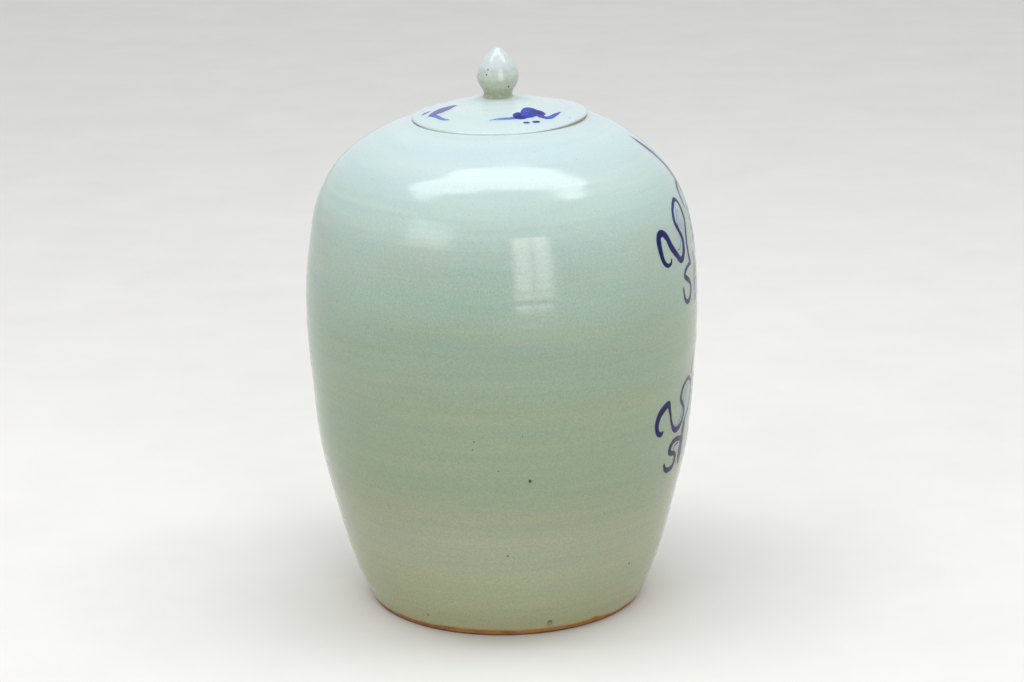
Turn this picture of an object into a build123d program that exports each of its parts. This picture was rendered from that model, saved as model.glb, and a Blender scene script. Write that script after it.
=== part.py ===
from build123d import *
from math import acos, asin, cos, hypot, radians, sin, sqrt
import os

# A celadon-glazed melon-shaped ginger jar with a shallow domed lid and a bud finial.
# Millimetres. The jar stands on the plane z = 0, and its axis of turning is Z.

# --- Jar: the outside wall is a chain of tangent arcs turned about Z ---
BELLY_RADIUS = 127.0        # widest radius, over the glaze
BELLY_Z = 200.0             # height of the widest ring, where the two thrown halves were joined
FOOT_ARC = 410.0            # radius of the wall's curve next to the foot
WALL_ARC = 620.0            # radius of the wall's curve below the belly
WALL_SWEEP = radians(9.6)   # how far the wall turns below the belly before the foot's curve
BELLY_ARC = 290.0           # radius of the wall's curve above the belly
BELLY_SWEEP = radians(11.2)
SHOULDER_ARC = 75.6         # radius of the round shoulder
SHOULDER_SWEEP = radians(40.0)
NECK_ARC = 106.0            # radius of the flatter curve that runs up to the mouth

# --- Jar: thicknesses and the parts of the clay ---
GLAZE = 0.5                 # celadon coat, outside
INNER_GLAZE = 0.4           # thinner coat inside and under the base
WALL = 6.5                  # clay wall
FLOOR_Z = 6.0               # underside of the jar's floor, inside the foot ring
FLOOR_THICKNESS = 9.0
FLOOR_FILLET = 18.0         # where the floor turns up into the wall, inside
FOOT_INNER_RADIUS = 79.0    # inside of the foot ring where it stands
FOOT_INNER_SLOPE = 1.5      # how much the ring widens towards the floor
FOOT_EDGE = 0.9             # rounding of the foot ring's standing edges
BARE_FOOT = 3.0             # height of the bare band above the surface it stands on
MOUTH_RADIUS = 45.0
RIM_RADIUS = 57.0           # outside of the mouth ring
RIM_DEPTH = 9.6
SEAT_Z = 320.6              # flat top of the mouth ring, where the lid rests
RIM_ROUND = 1.2

# --- Lid ---
LID_RADIUS = 56.6
LID_EDGE = 1.4              # height of the lid's rim above its seat
LID_RISE = 14.0             # rise of the lid's top from its rim to its middle
LID_ARC = 600.0             # the top is nearly a cone: the radius of its slightly swelling side
LID_FLAT = 1.5              # how much lower than the cone's point its middle is, under the finial
LID_THICKNESS = 7.0
FLANGE_RADIUS = 43.6        # outside of the ring that drops into the mouth
FLANGE_WALL = 5.0
FLANGE_DEPTH = 12.6
FLANGE_ROUND = 1.5

# --- Finial: a bud on a short waist, standing on the middle of the lid ---
BUD_RADIUS = 13.1
BUD_Z = 346.5               # height of the bud's widest ring
TIP_Z = 366.4
WAIST_RADIUS = 8.9
WAIST_Z = 336.6
FINIAL_FOOT_RADIUS = 10.4   # where the finial spreads out onto the lid
FINIAL_FOOT_Z = 333.0

FAR = 400.0                 # larger than the jar, for cutting planes


def jar_arcs(depth):
    """The jar's wall, depth mm under its outside face, from the foot up to the mouth.

    Each arc is (centre r, centre z, radius, first angle, last angle), angles in radians from
    the horizontal, so every layer of the wall shares the same centres."""
    belly_r = BELLY_RADIUS - WALL_ARC
    foot_r = BELLY_RADIUS - WALL_ARC + (WALL_ARC - FOOT_ARC) * cos(WALL_SWEEP)
    foot_z = BELLY_Z - (WALL_ARC - FOOT_ARC) * sin(WALL_SWEEP)
    upper_r = BELLY_RADIUS - BELLY_ARC
    shoulder_r = upper_r + (BELLY_ARC - SHOULDER_ARC) * cos(BELLY_SWEEP)
    shoulder_z = BELLY_Z + (BELLY_ARC - SHOULDER_ARC) * sin(BELLY_SWEEP)
    turned = BELLY_SWEEP + SHOULDER_SWEEP
    neck_r = shoulder_r - (NECK_ARC - SHOULDER_ARC) * cos(turned)
    neck_z = shoulder_z - (NECK_ARC - SHOULDER_ARC) * sin(turned)
    foot_start = -asin(foot_z / (FOOT_ARC - depth))
    neck_end = acos((RIM_RADIUS - 4.0 - neck_r) / (NECK_ARC - depth))
    return [
        (foot_r, foot_z, FOOT_ARC - depth, foot_start, -WALL_SWEEP),
        (belly_r, BELLY_Z, WALL_ARC - depth, -WALL_SWEEP, 0.0),
        (upper_r, BELLY_Z, BELLY_ARC - depth, 0.0, BELLY_SWEEP),
        (shoulder_r, shoulder_z, SHOULDER_ARC - depth, BELLY_SWEEP, turned),
        (neck_r, neck_z, NECK_ARC - depth, turned, neck_end),
    ]


def jar_section(depth):
    """Half section of the jar filled solid, as it would be without its outermost depth mm."""
    edges = []
    for r, z, radius, first, last in jar_arcs(depth):
        middle = (first + last) / 2
        ends = [(r + radius * cos(a), z + radius * sin(a)) for a in (first, middle, last)]
        edges.append(ThreePointArc(*ends))
    foot = edges[0] @ 0
    top = edges[-1] @ 1
    edges.append(Line(top, (0, top.Y)))
    edges.append(Line((0, top.Y), (0, foot.Y)))
    edges.append(Line((0, foot.Y), foot))
    return make_face(Wire(edges))


def band(r_low, r_high, z_low, z_high):
    """A rectangle of the half section, between two radii and two heights."""
    width = r_high - r_low
    height = z_high - z_low
    return Pos(r_low + width / 2, z_low + height / 2) * Rectangle(width, height)


def turned(section):
    """Turn a half section, drawn with r along X and z along Y, about the jar's axis."""
    return revolve(Plane.XZ * section, Axis.Z)


def inner_section(depth, floor_z):
    """Half section of the hollow: depth mm under the outside face, above floor_z."""
    hollow = jar_section(depth) & band(0, FAR, floor_z, FAR)
    corner = hollow.vertices().filter_by(lambda v: abs(v.Y - floor_z) < 0.01).sort_by(Axis.X)[-1]
    return fillet(corner, FLOOR_FILLET - (depth - GLAZE - WALL))


def clay_wall():
    """Half section of the jar's clay wall and floor, with no foot ring or mouth ring."""
    outside = jar_section(GLAZE) & band(0, FAR, FLOOR_Z, FAR)
    return outside - inner_section(GLAZE + WALL, FLOOR_Z + FLOOR_THICKNESS)


def lower_body():
    return turned(clay_wall() & band(0, FAR, 0, BELLY_Z))


def upper_body():
    return turned(clay_wall() & band(RIM_RADIUS, FAR, BELLY_Z, FAR))


def foot_ring():
    """The trimmed ring that the jar stands on, bare of glaze at its foot and inside."""
    widened = FOOT_INNER_RADIUS - FOOT_INNER_SLOPE
    inside = Polygon((0, 0), (FOOT_INNER_RADIUS, 0), (widened, FLOOR_Z), (0, FLOOR_Z), align=None)
    section = (jar_section(GLAZE) & band(0, FAR, 0, FLOOR_Z)) - inside
    standing = section.vertices().filter_by(lambda v: abs(v.Y) < 0.01)
    return turned(fillet(standing, FOOT_EDGE))


def mouth_ring():
    """The thickened ring round the mouth, whose flat bare top is the lid's seat."""
    section = band(MOUTH_RADIUS, RIM_RADIUS, SEAT_Z - RIM_DEPTH, SEAT_Z)
    corners = section.vertices().filter_by(lambda v: v.X < MOUTH_RADIUS + 1)
    return turned(fillet(corners, RIM_ROUND))


def outer_glaze():
    """The celadon coat, from just above the foot up to the mouth ring."""
    coat = jar_section(0) - jar_section(GLAZE)
    return turned(coat & band(RIM_RADIUS, FAR, BARE_FOOT, FAR))


def inner_glaze():
    """The coat inside the jar, over the floor and the wall up to the mouth ring."""
    clay_face = GLAZE + WALL
    floor_top = FLOOR_Z + FLOOR_THICKNESS
    hollow = inner_section(clay_face, floor_top)
    coat = hollow - inner_section(clay_face + INNER_GLAZE, floor_top + INNER_GLAZE)
    return turned(coat - band(0, RIM_RADIUS, BELLY_Z, FAR))


def base_glaze():
    """The glazed patch under the floor, inside the foot ring."""
    radius = FOOT_INNER_RADIUS - 2 * FOOT_INNER_SLOPE
    return turned(band(0, radius, FLOOR_Z - INNER_GLAZE, FLOOR_Z))


def lid_section(depth):
    """Half section of everything under the lid's top, depth mm below its glaze."""
    half_chord = hypot(LID_RADIUS, LID_RISE) / 2
    reach = sqrt(LID_ARC ** 2 - half_chord ** 2) / (2 * half_chord)
    centre_r = LID_RADIUS / 2 - LID_RISE * reach
    centre_z = SEAT_Z + LID_EDGE + LID_RISE / 2 - LID_RADIUS * reach
    flat_z = SEAT_Z + LID_EDGE + LID_RISE - LID_FLAT - depth
    return Pos(centre_r, centre_z) * Circle(LID_ARC - depth) & band(0, LID_RADIUS, SEAT_Z - 1, flat_z)


def lid_plate():
    """The rising plate: a flat seat round its edge, hollowed a little under the middle."""
    seat = band(0, LID_RADIUS, SEAT_Z, FAR)
    return turned((lid_section(GLAZE) & seat) - lid_section(LID_THICKNESS))


def lid_flange():
    """The bare ring under the plate that keeps the lid centred in the mouth."""
    inside = FLANGE_RADIUS - FLANGE_WALL
    section = band(inside, FLANGE_RADIUS, SEAT_Z - FLANGE_DEPTH, SEAT_Z)
    lower = section.vertices().filter_by(lambda v: v.Y < SEAT_Z - 1)
    return turned(fillet(lower, FLANGE_ROUND))


def finial_section(depth):
    """Half section of the bud, its waist and its spreading foot, depth mm under the glaze."""
    tip = (0, TIP_Z - depth)
    beak = (0.42 * BUD_RADIUS - depth, TIP_Z - 0.2 * (TIP_Z - BUD_Z))
    cheek = (0.87 * BUD_RADIUS - depth, TIP_Z - 0.61 * (TIP_Z - BUD_Z))
    bud = (BUD_RADIUS - depth, BUD_Z)
    waist = (WAIST_RADIUS - depth, WAIST_Z)
    foot = (FINIAL_FOOT_RADIUS - depth, FINIAL_FOOT_Z)
    side = Spline(tip, beak, cheek, bud, waist, foot, tangents=[(1, -0.5), (1, -0.9)])
    below = Line(foot, (0, foot[1]))
    return make_face(Wire([side, below, Line((0, foot[1]), tip)]))


def finial():
    return turned(finial_section(GLAZE) - lid_section(GLAZE))


def finial_glaze():
    coat = finial_section(0) - finial_section(GLAZE)
    return turned(coat - lid_section(GLAZE))


def lid_glaze():
    """The coat on the lid's top, round the finial and out to the lid's edge."""
    coat = lid_section(0) - lid_section(GLAZE)
    return turned((coat & band(0, FAR, SEAT_Z, FAR)) - finial_section(0))


PARTS = [
    lower_body, upper_body, foot_ring, mouth_ring, outer_glaze, inner_glaze, base_glaze,
    lid_plate, lid_flange, finial, lid_glaze, finial_glaze,
]

os.makedirs("parts", exist_ok=True)
for make in PARTS:
    export_step(make(), f"parts/{make.__name__}.step")
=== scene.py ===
from math import acos, asin, ceil, cos, hypot, pi, radians, sin, sqrt

import bpy
import numpy as np
from mathutils import Matrix, Vector


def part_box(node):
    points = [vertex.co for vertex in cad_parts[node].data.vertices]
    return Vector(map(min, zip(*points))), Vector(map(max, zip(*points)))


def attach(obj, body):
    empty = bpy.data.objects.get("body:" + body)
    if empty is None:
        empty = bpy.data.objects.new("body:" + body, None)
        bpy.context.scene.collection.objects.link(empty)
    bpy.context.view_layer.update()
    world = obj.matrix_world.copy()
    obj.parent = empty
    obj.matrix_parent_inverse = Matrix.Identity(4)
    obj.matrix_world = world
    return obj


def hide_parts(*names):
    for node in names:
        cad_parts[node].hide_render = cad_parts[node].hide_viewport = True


# The looks of a celadon-glazed melon-shaped ginger jar with a lid and a bud finial.
# The scene is in metres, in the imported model's frame: the jar stands on z = 0 and its axis of
# turning is Z. Azimuth runs from +X towards +Y, and the painted side of the jar faces +X.
# Shapes are worked out in millimetres, which new_object turns into metres.

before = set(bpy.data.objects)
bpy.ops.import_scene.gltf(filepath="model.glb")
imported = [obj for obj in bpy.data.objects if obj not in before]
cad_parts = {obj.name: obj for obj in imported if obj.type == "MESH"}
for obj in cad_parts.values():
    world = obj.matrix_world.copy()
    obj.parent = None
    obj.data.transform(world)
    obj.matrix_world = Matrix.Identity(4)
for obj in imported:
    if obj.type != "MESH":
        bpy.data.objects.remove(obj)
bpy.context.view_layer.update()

MM = 0.001


# ---- sizes in millimetres, from the frame
def extent(node):
    """The outside radius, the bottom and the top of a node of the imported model."""
    low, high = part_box(node)
    return high[0] / MM, low[2] / MM, high[2] / MM


BELLY_R, BARE_FOOT, _ = extent("outer_glaze")
CLAY_R, FLOOR_Z, BELLY_Z = extent("lower_body")
RIM_R, RIM_BOTTOM, SEAT_Z = extent("mouth_ring")
FLANGE_R, FLANGE_BOTTOM, _ = extent("lid_flange")
BUD_R, FINIAL_FOOT_Z, TIP_Z = extent("finial_glaze")
LID_R, _, _ = extent("lid_plate")
BASE_GLAZE_R, _, _ = extent("base_glaze")
INSIDE_R, _, _ = extent("inner_glaze")

GLAZE = BELLY_R - CLAY_R
WALL = CLAY_R - INSIDE_R
INNER_GLAZE = 0.4
FLOOR_THICKNESS = 9.0
FLOOR_FILLET = 18.0
FLOOR_TOP = FLOOR_Z + FLOOR_THICKNESS
MOUTH_R = 45.0
FOOT_INNER_R = 79.0
# A turned surface starts this far from the axis, so that its first faces aren't pinched.
AXIS_GAP = 0.2


# ---- outlines turned about Z
class Outline:
    """A half section read as a path of (radius, height), with its outward normals."""

    def __init__(self, points):
        self.p = np.array(points, float)
        step = np.hypot(*np.diff(self.p, axis=0).T)
        self.s = np.concatenate([[0.0], np.cumsum(step)])
        tangent = np.gradient(self.p, self.s, axis=0)
        tangent /= np.linalg.norm(tangent, axis=1)[:, None]
        self.n = np.stack([tangent[:, 1], -tangent[:, 0]], axis=1)

    def at(self, s):
        """Radius, height, and the normal's radial and upward parts at distance s."""
        columns = (self.p[:, 0], self.p[:, 1], self.n[:, 0], self.n[:, 1])
        return [np.interp(s, self.s, column) for column in columns]

    def s_at_z(self, z):
        return np.interp(z, self.p[:, 1], self.s)

    def s_at_rim(self, radius):
        """Distance up the outline, above the belly, where it has come in to that radius."""
        above = self.p[:, 1] > BELLY_Z
        return float(self.s[above & (self.p[:, 0] > radius)][-1])

    def r_at_z(self, z):
        return float(self.at(self.s_at_z(z))[0])

    def run(self, s_low, s_high, count):
        """Points of the outline from one distance to another."""
        r, z, _, _ = self.at(np.linspace(s_low, s_high, count))
        return list(zip(r, z))


def jar_outline(depth=0.0):
    """The jar's wall from foot to mouth, depth under its outside face: five tangent arcs."""
    foot_arc, wall_arc, belly_arc = 410 - depth, 620 - depth, 290 - depth
    shoulder_arc, neck_arc = 75.6 - depth, 106 - depth
    wall_sweep, belly_sweep, shoulder_sweep = radians(9.6), radians(11.2), radians(40)
    belly = BELLY_R - depth
    foot_r = belly - wall_arc + (wall_arc - foot_arc) * cos(wall_sweep)
    foot_z = BELLY_Z - (wall_arc - foot_arc) * sin(wall_sweep)
    shoulder_r = belly - belly_arc + (belly_arc - shoulder_arc) * cos(belly_sweep)
    shoulder_z = BELLY_Z + (belly_arc - shoulder_arc) * sin(belly_sweep)
    turned = belly_sweep + shoulder_sweep
    neck_r = shoulder_r - (neck_arc - shoulder_arc) * cos(turned)
    neck_z = shoulder_z - (neck_arc - shoulder_arc) * sin(turned)
    mouth = acos((RIM_R - 4 - neck_r) / neck_arc)
    arcs = [
        (foot_r, foot_z, foot_arc, -asin(foot_z / foot_arc), -wall_sweep),
        (belly - wall_arc, BELLY_Z, wall_arc, -wall_sweep, 0.0),
        (belly - belly_arc, BELLY_Z, belly_arc, 0.0, belly_sweep),
        (shoulder_r, shoulder_z, shoulder_arc, belly_sweep, turned),
        (neck_r, neck_z, neck_arc, turned, mouth),
    ]
    points = []
    for r, z, radius, first, last in arcs:
        for a in np.linspace(first, last, 200)[:-1]:
            points.append((r + radius * cos(a), z + radius * sin(a)))
    return Outline(points)


JAR = jar_outline()
CLAY = jar_outline(GLAZE)
HOLLOW = jar_outline(GLAZE + WALL)
INSIDE = jar_outline(GLAZE + WALL + INNER_GLAZE)


def unit(x):
    return np.clip(x, 0, 1)


def signed(az):
    """The same azimuth, between -pi and pi."""
    return (az + pi) % (2 * pi) - pi


def bump(x, centre, width):
    return np.exp(-(((x - centre) / width) ** 2))


def swell(az, centre, width, power=2):
    """A bump round the axis: 1 at azimuth centre, falling off over width on each side."""
    return np.exp(-((signed(az - centre) / width) ** power))


def waves(az, z, parts):
    """A sum of sine waves over the surface: (size, turns round, length up, phase)."""
    total = np.zeros(np.broadcast(az, z).shape)
    for size, turns, length, phase in parts:
        total += size * np.sin(turns * az + 2 * pi * z / length + phase)
    return total


def ripple(az, parts):
    """A sum of sine waves round the axis: (size, turns round, phase)."""
    return waves(az, 0.0, [(size, turns, 1, phase) for size, turns, phase in parts])


THROWING_RINGS = [
    (0.040, 1, 9.2, 0.4), (0.028, 2, 13.7, 2.1), (0.022, -1, 6.1, 4.0),
    (0.050, 3, 47.0, 1.2), (0.060, -2, 71.0, 5.3),
]


def seat_wave(az):
    """How far the mouth's edge, and the lid that sits on it, rise and dip round the jar."""
    return 0.3 + 0.7 * np.cos(az + 0.6)


def jar_relief(az, z):
    """How far the thrown wall stands out from a true turned surface."""
    fade = unit((SEAT_Z - 3 - z) / 25)
    hand = 0.42 * np.cos(2 * pi * (z - 112) / 90) * unit((200 - z) / 40) * unit(z / 20)
    lean = (0.5 * bump(z, 243, 22) - bump(z, 298, 17)) * np.cos(az)
    seam = 0.08 * bump(z, 204.5, 3.0)
    oval = 0.18 * np.cos(2 * az + 0.7)
    return fade * (waves(az, z, THROWING_RINGS) + hand + lean + seam + oval)


def mouth_rise(az, z):
    """The wave of the mouth's edge, faded out down the shoulder."""
    return seat_wave(az) * unit((z - 288) / (SEAT_Z - 291)) ** 1.5


def jar_surface(az, s, lift=0.0):
    """Points of the jar's glazed face at azimuth az and distance s up its outline."""
    r, z, nr, nz = JAR.at(s)
    out = jar_relief(az, z) + lift
    radius = r + out * nr
    height = z + out * nz + mouth_rise(az, z)
    return np.stack([radius * np.cos(az), radius * np.sin(az), height], axis=-1)


# ---- meshes
def new_object(name, points, faces, values=None):
    """A smooth-shaded mesh object. values holds named numbers for each point."""
    mesh = bpy.data.meshes.new(name)
    mesh.from_pydata((np.asarray(points).reshape(-1, 3) * MM).tolist(), [], faces)
    mesh.update()
    mesh.polygons.foreach_set("use_smooth", [True] * len(mesh.polygons))
    for key, numbers in (values or {}).items():
        layer = mesh.attributes.new(key, "FLOAT", "POINT")
        layer.data.foreach_set("value", np.asarray(numbers, np.float32).ravel())
    obj = bpy.data.objects.new(name, mesh)
    bpy.context.scene.collection.objects.link(obj)
    return obj


def turned_faces(rows, columns, closed_path=False):
    """Quads between rows of points, each row a full turn."""
    faces = []
    for i in range(rows if closed_path else rows - 1):
        low = i * columns
        high = ((i + 1) % rows) * columns
        for j in range(columns):
            k = (j + 1) % columns
            faces.append((low + j, low + k, high + k, high + j))
    return faces


def full_turn(columns, start=-pi):
    """Azimuths of one turn, as a row."""
    return np.linspace(start, start + 2 * pi, columns, endpoint=False)[None, :]


def ring_points(radius, z, az):
    """Points at each azimuth for rows of radius and height."""
    x, y = radius * np.cos(az), radius * np.sin(az)
    return np.stack(np.broadcast_arrays(x, y, z), axis=-1)


def turned_object(name, path, columns, relief, closed_path=True, caps=False):
    """Turn a path of (radius, height) about Z. relief(az, r, z) adds (dr, dz).

    A closed path is put in the order that turns its faces outwards. An open path should run up
    for a surface seen from outside, and down for one seen from the axis."""
    r, z = np.asarray(path, float).T
    area_twice = np.dot(r, np.roll(z, -1) - np.roll(z, 1))
    if closed_path and area_twice < 0:
        r, z = r[::-1], z[::-1]
    r, z = r[:, None], z[:, None]
    az = full_turn(columns, 0.0)
    dr, dz = relief(az, r, z)
    points = ring_points(np.maximum(r + dr, 0.0), z + dz, az)
    faces = turned_faces(len(r), columns, closed_path)
    if caps:
        last = len(r) * columns
        faces.append(tuple(range(columns))[::-1])
        faces.append(tuple(range(last - columns, last)))
    return new_object(name, points, faces)


def rounded(corners, radii, count=7):
    """A closed path through corners, each rounded to its own radius."""
    path = []
    for i, (corner, radius) in enumerate(zip(corners, radii)):
        here = Vector(corner)
        before = (Vector(corners[i - 1]) - here).normalized()
        after = (Vector(corners[(i + 1) % len(corners)]) - here).normalized()
        for t in np.linspace(0, 1, count):
            start = here + before * radius
            end = here + after * radius
            path.append(tuple(start.lerp(here, t).lerp(here.lerp(end, t), t)))
    return path


def refined(path, step, closed=True):
    """The same path with no gap between its points longer than step."""
    path = [Vector(p) for p in path]
    ends = path[1:] + path[:1] if closed else path[1:]
    points = []
    for a, b in zip(path, ends):
        count = max(1, ceil((b - a).length / step))
        points += [tuple(a.lerp(b, i / count)) for i in range(count)]
    if not closed:
        points.append(tuple(path[-1]))
    return points


def smooth_path(points, step):
    """A smooth path through points, by Catmull-Rom spans."""
    p = np.array(points, float)
    p = np.concatenate([[2 * p[0] - p[1]], p, [2 * p[-1] - p[-2]]])
    out = []
    for a, b, c, d in zip(p, p[1:], p[2:], p[3:]):
        count = max(2, ceil(np.linalg.norm((c - b)[:2]) / step))
        t = np.linspace(0, 1, count, endpoint=False)[:, None]
        curve = 2 * b + (c - a) * t + (2 * a - 5 * b + 4 * c - d) * t ** 2
        out.append(0.5 * (curve + (3 * b - a - 3 * c + d) * t ** 3))
    out.append(p[-2][None, :])
    return np.concatenate(out)


def place(obj, body, slot, material, *nodes):
    """Give a piece its material and its body, and hide the CAD nodes that it stands for; slot is
    not used.
    """
    obj.data.materials.append(material)
    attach(obj, body)
    if nodes:
        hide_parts(*nodes)


# ---- material building
class Nodes:
    """A small helper that adds and joins the shader nodes of one material or world."""

    def __init__(self, owner, shader="Principled BSDF", coordinates="Object"):
        owner.use_nodes = True
        self.owner = owner
        self.tree = owner.node_tree
        self.shader = self.tree.nodes[shader]
        self.position = self.add("TexCoord", {}, coordinates)

    def feed(self, sockets, values):
        """Give sockets, by name or place, a value or another node's output. None is left out."""
        for key, value in values.items():
            if isinstance(value, bpy.types.NodeSocket):
                self.tree.links.new(value, sockets[key])
            elif value is not None:
                sockets[key].default_value = value

    def add(self, kind, inputs, output=0, **settings):
        """A new node of this kind, and one of its outputs."""
        node = self.tree.nodes.new("ShaderNode" + kind)
        for key, value in settings.items():
            setattr(node, key, value)
        self.feed(node.inputs, inputs)
        return node.outputs[output]

    def math(self, operation, *values, clamp=False):
        return self.add("Math", dict(enumerate(values)), operation=operation, use_clamp=clamp)

    def spread(self, value, low, high, to_low=0.0, to_high=1.0):
        """value moved from the range low..high to the range to_low..to_high, held inside it."""
        inputs = dict(enumerate((value, low, high, to_low, to_high)))
        return self.add("MapRange", inputs, interpolation_type="SMOOTHSTEP")

    def noise(self, scale, detail, roughness, shift, stretch=(1, 1, 1)):
        """Noise of about 1/scale metres. A larger stretch makes it finer along that axis."""
        moved = (shift, shift * 0.7, shift * 1.3)
        place = self.add("Mapping", {"Vector": self.position, "Scale": stretch, "Location": moved})
        inputs = {"Vector": place, "Scale": scale, "Detail": detail, "Roughness": roughness}
        return self.add("TexNoise", inputs)

    def shaken(self, value, noise, amount, clamp=False):
        """value moved up and down by a noise, by half of amount at most."""
        centred = self.math("SUBTRACT", noise, 0.5)
        return self.math("MULTIPLY_ADD", centred, amount, value, clamp=clamp)

    def attribute(self, name):
        return self.add("Attribute", {}, "Fac", attribute_name=name)

    def along(self, axis):
        """The position's own X, Y or Z."""
        return self.add("SeparateXYZ", {0: self.position}, axis)

    def height(self):
        """Height above the table in millimetres."""
        return self.math("DIVIDE", self.along("Z"), MM)

    def ramp(self, value, stops):
        colour = self.add("ValToRGB", {"Fac": value})
        elements = colour.node.color_ramp.elements
        while len(elements) < len(stops):
            elements.new(0.5)
        for element, (position, shade) in zip(elements, stops):
            element.position = position
            element.color = (*shade, 1.0)
        return colour

    def mix(self, factor, a, b, blend="MIX"):
        a, b = ((*shade, 1.0) if isinstance(shade, tuple) else shade for shade in (a, b))
        inputs = {"Factor": factor, "A": a, "B": b}
        return self.add("Mix", inputs, "Result", data_type="RGBA", blend_type=blend)

    def tint(self, colour, value, stops, factor=1.0):
        """colour multiplied by a ramp over value."""
        return self.mix(factor, colour, self.ramp(value, stops), "MULTIPLY")

    def bump(self, height, millimetres, strength=1.0, under=None):
        inputs = {"Height": height, "Distance": millimetres * MM, "Strength": strength}
        return self.add("Bump", {**inputs, "Normal": under})

    def finish(self, **inputs):
        """Feed the shader's inputs, with _ for a space in their names."""
        self.feed(self.shader.inputs, {key.replace("_", " "): inputs[key] for key in inputs})
        return self.owner


def material_nodes(name):
    return Nodes(bpy.data.materials.new(name))


# Celadon glaze by height above the foot: olive low down, pale blue at the top, where the pale blue
# is partly painted sky light from above.
CELADON_AND_SKY_LIGHT_BY_HEIGHT = [
    (0, (0.35, 0.355, 0.21)),
    (35, (0.325, 0.355, 0.225)),
    (65, (0.33, 0.36, 0.25)),
    (100, (0.27, 0.325, 0.225)),
    (135, (0.265, 0.335, 0.235)),
    (205, (0.285, 0.37, 0.275)),
    (235, (0.33, 0.435, 0.37)),
    (285, (0.43, 0.54, 0.515)),
    (310, (0.485, 0.585, 0.59)),
    (366, (0.50, 0.565, 0.575)),
]
# Thrown lines that show through the glaze: height and shade, 0.5 being none.
THROWN_SHADES = [
    (0, 0.45), (24, 0.58), (40, 0.46), (62, 0.60), (78, 0.52), (92, 0.34), (104, 0.48),
    (118, 0.60), (131, 0.50), (150, 0.44), (163, 0.28), (170, 0.52), (186, 0.58), (200, 0.50),
    (204, 0.80), (209, 0.46), (228, 0.56), (246, 0.36), (262, 0.30), (274, 0.54), (292, 0.50),
    (308, 0.60), (322, 0.50), (366, 0.5),
]
NO_TINT = (1.0, 1.0, 1.0)


def over_height(stops):
    """Ramp stops given by height, as shares of the height to the finial's tip."""
    return [(min(1.0, z / TIP_Z), value) for z, value in stops]


def celadon_and_sky_light_colour(n):
    """The glaze's colour with painted sky light in it: a slow change with height, whose pale blue
    top is partly painted light from above, thrown lines, brushed bands, mottling.
    """
    height = n.math("DIVIDE", n.height(), TIP_Z)
    sway = n.noise(7.0, 2.0, 0.5, 3.1, (1, 1, 0.6))
    # This ramp carries painted sky light: the top is paler and bluer partly for light falling on it
    # from above.
    base = n.ramp(n.shaken(height, sway, 0.10), over_height(CELADON_AND_SKY_LIGHT_BY_HEIGHT))
    shades = over_height([(z, (v, v, v)) for z, v in THROWN_SHADES])
    thrown = n.ramp(n.shaken(height, sway, 0.035), shades)
    patchy = n.noise(16.0, 3.0, 0.6, 6.6, (1, 1, 0.7))
    thrown = n.mix(n.spread(patchy, 0.36, 0.60), (0.5, 0.5, 0.5), thrown)
    warm_cool = [(0.2, (1.065, 0.98, 0.92)), (0.5, NO_TINT), (0.8, (0.96, 1.01, 1.07))]
    base = n.tint(base, thrown, warm_cool)
    bands = n.noise(22.0, 3.0, 0.55, 8.0, (0.35, 0.35, 4.2))
    base = n.tint(base, bands, [(0.30, (0.955, 0.98, 0.99)), (0.70, (1.05, 1.02, 0.985))])
    fine = n.noise(46.0, 3.0, 0.6, 4.0, (0.25, 0.25, 7.0))
    base = n.tint(base, fine, [(0.3, (0.97, 0.98, 0.98)), (0.7, (1.03, 1.02, 1.01))])
    mottle = n.noise(820.0, 3.0, 0.7, 5.0)
    blush = [(0.34, (0.85, 0.94, 0.89)), (0.50, NO_TINT), (0.66, (1.15, 1.05, 1.07))]
    calmer_up = n.spread(n.height(), 235, 315, 1.0, 0.4)
    base = n.tint(base, mottle, blush, calmer_up)
    specks = n.noise(900.0, 1.0, 0.4, 9.0)
    return n.mix(n.spread(specks, 0.755, 0.79, 0.0, 0.45), base, (0.16, 0.13, 0.09))


def glaze(n, colour, smooth=0.10, dull=0.20, waviness=1.0, gloss=0.5):
    """A glassy coat: smeared here and there, with orange-peel over faint brushed bands."""
    smears = n.noise(24.0, 4.0, 0.6, 4.0, (1, 1, 3.0))
    grain = n.noise(260.0, 2.0, 0.5, 7.0)
    both = n.math("MULTIPLY_ADD", grain, 0.35, n.math("MULTIPLY", smears, 0.65))
    roughness = n.spread(both, 0.35, 0.72, smooth, dull)
    peel = n.noise(330.0, 2.0, 0.5, 2.0)
    bands = n.noise(60.0, 2.0, 0.5, 6.0, (0.3, 0.3, 5.0))
    normal = n.bump(peel, 0.035 * waviness, under=n.bump(bands, 0.10 * waviness))
    return n.finish(
        Base_Color=colour, Roughness=roughness, Normal=normal, IOR=1.5, Specular_IOR_Level=gloss
    )


def celadon():
    """The outer glaze, which shows the clay's brown where it thins out at its edges."""
    n = material_nodes("celadon_glaze")
    thin = n.spread(n.attribute("thin"), 0.15, 0.95)
    return glaze(n, n.mix(thin, celadon_and_sky_light_colour(n), (0.45, 0.23, 0.08)))


def finial_colour(n):
    """The knob's coat: pale towards the tip, olive where it has pooled round the waist."""
    height = n.spread(n.height(), FINIAL_FOOT_Z, TIP_Z)
    level = n.shaken(height, n.noise(70.0, 3.0, 0.6, 1.0), 0.45)
    colour = n.ramp(level, [
        (0.00, (0.36, 0.40, 0.28)),
        (0.14, (0.45, 0.49, 0.38)),
        (0.36, (0.475, 0.525, 0.43)),
        (0.60, (0.50, 0.56, 0.52)),
        (1.00, (0.51, 0.58, 0.60)),
    ])
    mottle = n.spread(n.noise(420.0, 4.0, 0.65, 5.0), 0.45, 0.75, 0.0, 0.30)
    return n.mix(mottle, colour, (0.45, 0.50, 0.38), "MULTIPLY")


def finial_celadon():
    n = material_nodes("finial_glaze_pooled")
    return glaze(n, finial_colour(n), 0.10, 0.24, 1.2)


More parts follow.
